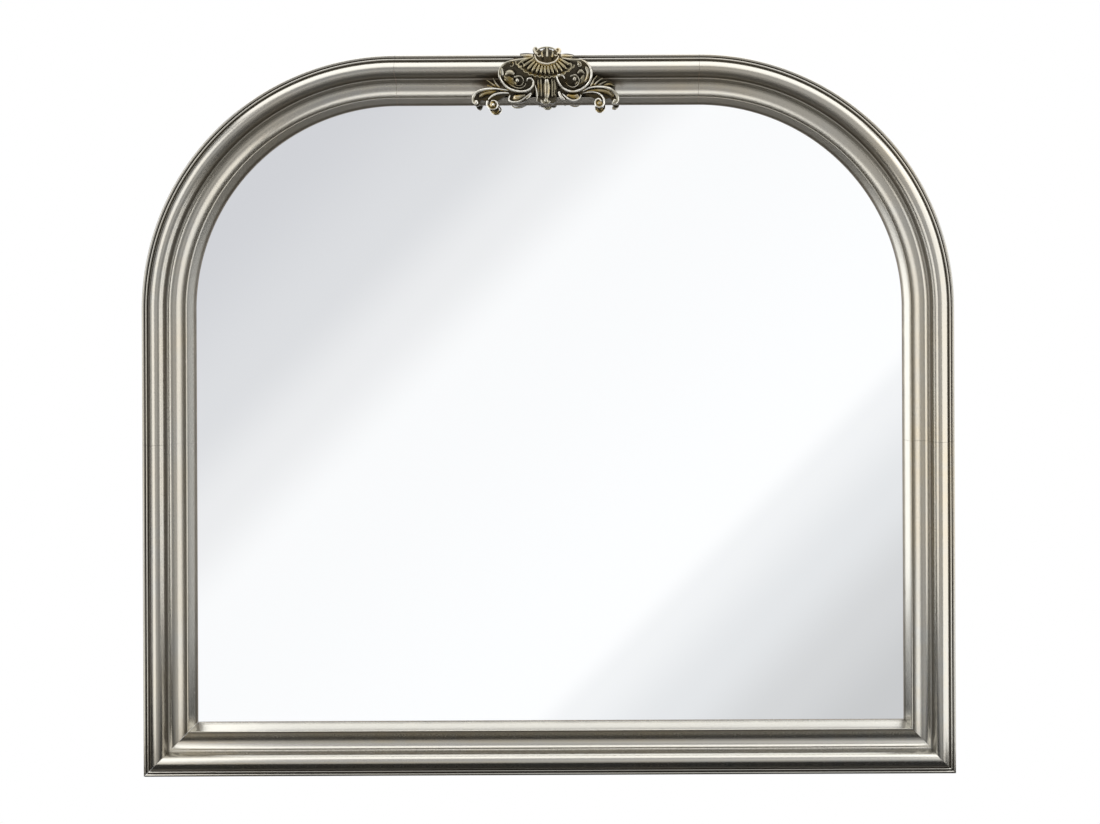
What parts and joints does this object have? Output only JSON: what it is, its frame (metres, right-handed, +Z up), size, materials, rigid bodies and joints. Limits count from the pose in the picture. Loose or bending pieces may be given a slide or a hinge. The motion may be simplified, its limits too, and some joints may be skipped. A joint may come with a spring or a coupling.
{
  "type": "overmantel mirror",
  "caption": "Arched overmantel mirror: leafed moulding frame with rounded top corners, cast shell-and-scroll crest, plain plate, back board on turn buttons and ring hangers.",
  "frame": {"origin": "middle of the bottom rail's flat underside, where the mirror stands on a mantel shelf", "axes": "+Z up, -Y out of the glass towards the room, +Y towards the wall, +X to the viewer's right"},
  "size_m": [1.2, 0.0747, 1.0764],
  "materials": {
    "silver_leaf": "antiqued silver leaf on wood, worn at the arrises",
    "antique_leaf": "cast composition, silvered, with dark patina in the hollows",
    "mirror_plate": "polished silvered glass, plain edge",
    "fibreboard": "raw hardboard",
    "hardwood": "raw beech",
    "cork": "pressed cork",
    "zinc_plate": "bright zinc plate",
    "brass_plate": "brass-plated steel",
    "rubber": "black moulded rubber"
  },
  "bodies": {
    "root": {"top_rail": "silver_leaf", "left_shoulder": "silver_leaf", "right_shoulder": "silver_leaf", "left_stile": "silver_leaf", "right_stile": "silver_leaf", "bottom_rail": "silver_leaf", "top_left_tongue": "hardwood", "top_right_tongue": "hardwood", "side_left_tongue": "hardwood", "side_right_tongue": "hardwood", "bottom_left_tongue": "hardwood", "bottom_right_tongue": "hardwood", "crest_plume": "antique_leaf", "crest_shell": "antique_leaf", "crest_drop": "antique_leaf", "crest_left_scroll": "antique_leaf", "crest_right_scroll": "antique_leaf", "crest_left_screw": "zinc_plate", "crest_right_screw": "zinc_plate", "mirror_glass": "mirror_plate", "back_board": "fibreboard", "bottom_left_block": "cork", "bottom_right_block": "cork", "side_left_block": "cork", "side_right_block": "cork", "top_left_button_screw": "zinc_plate", "top_right_button_screw": "zinc_plate", "bottom_left_button_screw": "zinc_plate", "bottom_right_button_screw": "zinc_plate", "stile_left_button_screw": "zinc_plate", "stile_right_button_screw": "zinc_plate", "shoulder_left_button_screw": "zinc_plate", "shoulder_right_button_screw": "zinc_plate", "left_hanger_strap": "brass_plate", "left_strap_upper_screw": "brass_plate", "left_strap_lower_screw": "brass_plate", "lower_left_bumper": "rubber", "upper_left_bumper": "rubber", "right_hanger_strap": "brass_plate", "right_strap_upper_screw": "brass_plate", "right_strap_lower_screw": "brass_plate", "lower_right_bumper": "rubber", "upper_right_bumper": "rubber"},
    "top_left_turn_button": {"top_left_button": "zinc_plate"},
    "top_right_turn_button": {"top_right_button": "zinc_plate"},
    "bottom_left_turn_button": {"bottom_left_button": "zinc_plate"},
    "bottom_right_turn_button": {"bottom_right_button": "zinc_plate"},
    "stile_left_turn_button": {"stile_left_button": "zinc_plate"},
    "stile_right_turn_button": {"stile_right_button": "zinc_plate"},
    "shoulder_left_turn_button": {"shoulder_left_button": "zinc_plate"},
    "shoulder_right_turn_button": {"shoulder_right_button": "zinc_plate"},
    "left_ring": {"left_hanging_ring": "brass_plate"},
    "right_ring": {"right_hanging_ring": "brass_plate"}
  },
  "joints": [
    {"name": "top_left_button_turn", "type": "hinge", "parent": "root", "child": "top_left_turn_button", "pos_m": [-0.15, 0.0218, 1.018], "axis": [0, 1, 0], "continuous": true},
    {"name": "top_right_button_turn", "type": "hinge", "parent": "root", "child": "top_right_turn_button", "pos_m": [0.15, 0.0218, 1.018], "axis": [0, 1, 0], "continuous": true},
    {"name": "bottom_left_button_turn", "type": "hinge", "parent": "root", "child": "bottom_left_turn_button", "pos_m": [-0.28, 0.0218, 0.046], "axis": [0, 1, 0], "continuous": true},
    {"name": "bottom_right_button_turn", "type": "hinge", "parent": "root", "child": "bottom_right_turn_button", "pos_m": [0.28, 0.0218, 0.046], "axis": [0, 1, 0], "continuous": true},
    {"name": "stile_left_button_turn", "type": "hinge", "parent": "root", "child": "stile_left_turn_button", "pos_m": [-0.554, 0.0218, 0.25], "axis": [0, 1, 0], "continuous": true},
    {"name": "stile_right_button_turn", "type": "hinge", "parent": "root", "child": "stile_right_turn_button", "pos_m": [0.554, 0.0218, 0.25], "axis": [0, 1, 0], "continuous": true},
    {"name": "shoulder_left_button_turn", "type": "hinge", "parent": "root", "child": "shoulder_left_turn_button", "pos_m": [-0.554, 0.0218, 0.56], "axis": [0, 1, 0], "continuous": true},
    {"name": "shoulder_right_button_turn", "type": "hinge", "parent": "root", "child": "shoulder_right_turn_button", "pos_m": [0.554, 0.0218, 0.56], "axis": [0, 1, 0], "continuous": true},
    {"name": "left_ring_swing", "type": "hinge", "parent": "root", "child": "left_ring", "pos_m": [-0.576, 0.0242, 0.65], "axis": [-1, 0, 0], "range_deg": [0, 175]},
    {"name": "right_ring_swing", "type": "hinge", "parent": "root", "child": "right_ring", "pos_m": [0.576, 0.0242, 0.65], "axis": [-1, 0, 0], "range_deg": [0, 175]}
  ]
}
